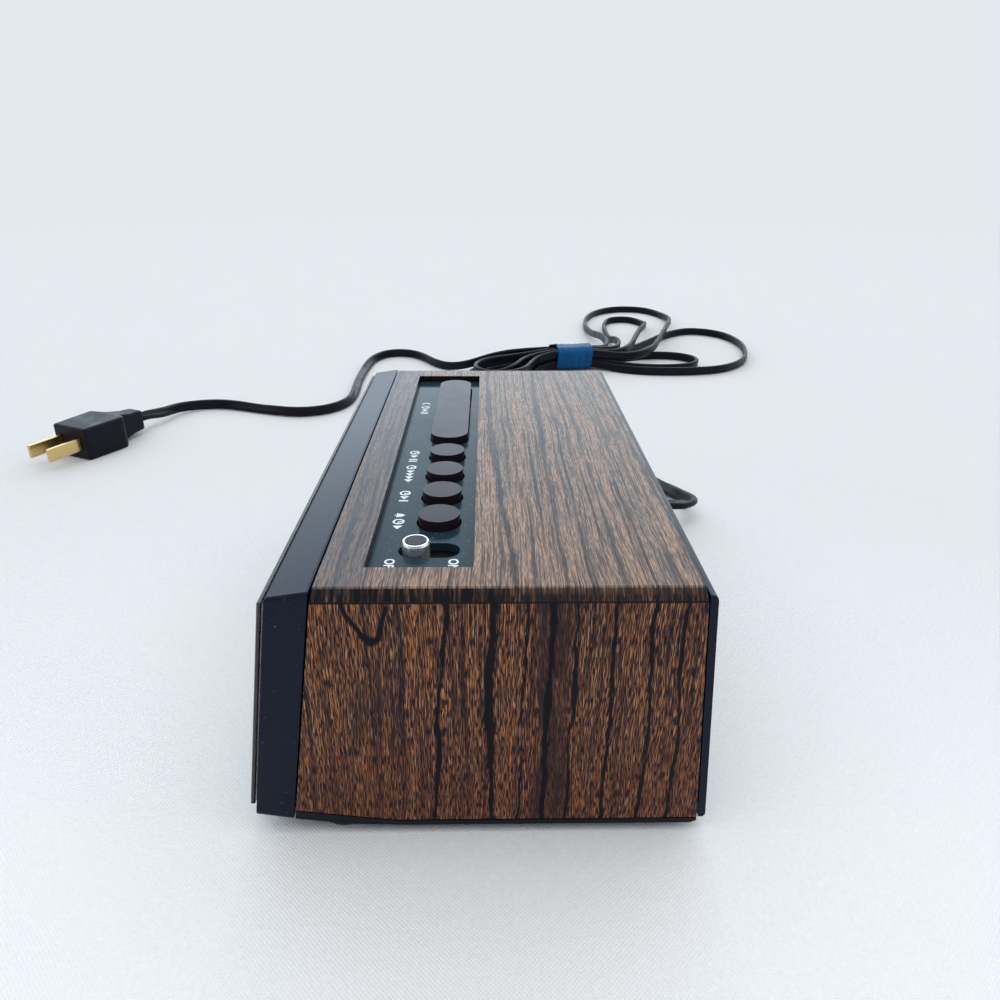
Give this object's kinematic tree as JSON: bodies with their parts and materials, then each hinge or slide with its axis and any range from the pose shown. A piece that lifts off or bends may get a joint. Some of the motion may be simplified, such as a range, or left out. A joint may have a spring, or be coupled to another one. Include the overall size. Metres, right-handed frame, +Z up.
{
  "type": "electronic alarm clock",
  "caption": "Mains digital alarm clock with a wood-grain wrap, smoked front lens, recessed keys, snooze bar, slide switch and a tied flat lead with plug",
  "frame": {"origin": "centre of the case's box on the surface it stands on", "axes": "+X to the end beside the alarm switch, -Y to the display, +Y to the back, +Z up"},
  "size_m": [0.5985, 0.4143, 0.0627],
  "materials": {
    "wood_foil": "satin",
    "black_plastic": "satin",
    "smoked_lens": "gloss",
    "glossy_plate": "gloss",
    "key_plastic": "satin",
    "chrome": "polished",
    "rubber": "matte",
    "steel": "satin",
    "circuit_board": "satin",
    "component_black": "matte",
    "capacitor_sleeve": "gloss",
    "copper_winding": "satin",
    "cord_plastic": "satin",
    "tie_blue": "satin",
    "brass": "polished"
  },
  "bodies": {
    "case": {"cabinet_shell": "wood_foil", "front_bezel": "black_plastic", "display_lens": "smoked_lens", "base_tray": "black_plastic", "rear_cover": "black_plastic", "control_plate": "glossy_plate", "slide_switch_body": "steel", "key_board": "circuit_board", "main_board": "circuit_board", "clock_chip": "component_black", "filter_capacitor": "capacitor_sleeve", "display_module": "component_black", "transformer_core": "steel", "transformer_coil": "copper_winding", "alarm_speaker": "steel", "cord_strain_relief": "cord_plastic", "power_cord": "cord_plastic", "cord_hank": "cord_plastic", "plug_cord": "cord_plastic", "cord_tie": "tie_blue", "plug_body": "cord_plastic", "rubber_foot_1": "rubber", "case_screw_1": "steel", "rubber_foot_2": "rubber", "case_screw_2": "steel", "rubber_foot_3": "rubber", "case_screw_3": "steel", "rubber_foot_4": "rubber", "case_screw_4": "steel", "key_switch_1": "component_black", "key_switch_2": "component_black", "key_switch_3": "component_black", "key_switch_4": "component_black", "key_switch_5": "component_black", "key_switch_6": "component_black", "plug_blade_1": "brass", "plug_blade_2": "brass"},
    "alarm_set": {"alarm_set_button": "key_plastic"},
    "time_set": {"time_set_button": "key_plastic"},
    "fast_set": {"fast_set_button": "key_plastic"},
    "slow_set": {"slow_set_button": "key_plastic"},
    "snooze": {"snooze_bar": "key_plastic"},
    "alarm_switch": {"alarm_switch_knob": "chrome", "alarm_switch_insert": "key_plastic", "alarm_switch_slider": "component_black"}
  },
  "joints": [
    {"name": "alarm_set_press", "type": "slide", "parent": "case", "child": "alarm_set", "axis": [0, 0, -1], "range_m": [0, 0.001], "stiffness_N_per_m": 120},
    {"name": "time_set_press", "type": "slide", "parent": "case", "child": "time_set", "axis": [0, 0, -1], "range_m": [0, 0.001], "stiffness_N_per_m": 120},
    {"name": "fast_set_press", "type": "slide", "parent": "case", "child": "fast_set", "axis": [0, 0, -1], "range_m": [0, 0.001], "stiffness_N_per_m": 120},
    {"name": "slow_set_press", "type": "slide", "parent": "case", "child": "slow_set", "axis": [0, 0, -1], "range_m": [0, 0.001], "stiffness_N_per_m": 120},
    {"name": "snooze_press", "type": "slide", "parent": "case", "child": "snooze", "axis": [0, 0, -1], "range_m": [0, 0.001], "stiffness_N_per_m": 150},
    {"name": "alarm_switch_slide", "type": "slide", "parent": "case", "child": "alarm_switch", "axis": [0, 1, 0], "range_m": [0, 0.0056]}
  ]
}
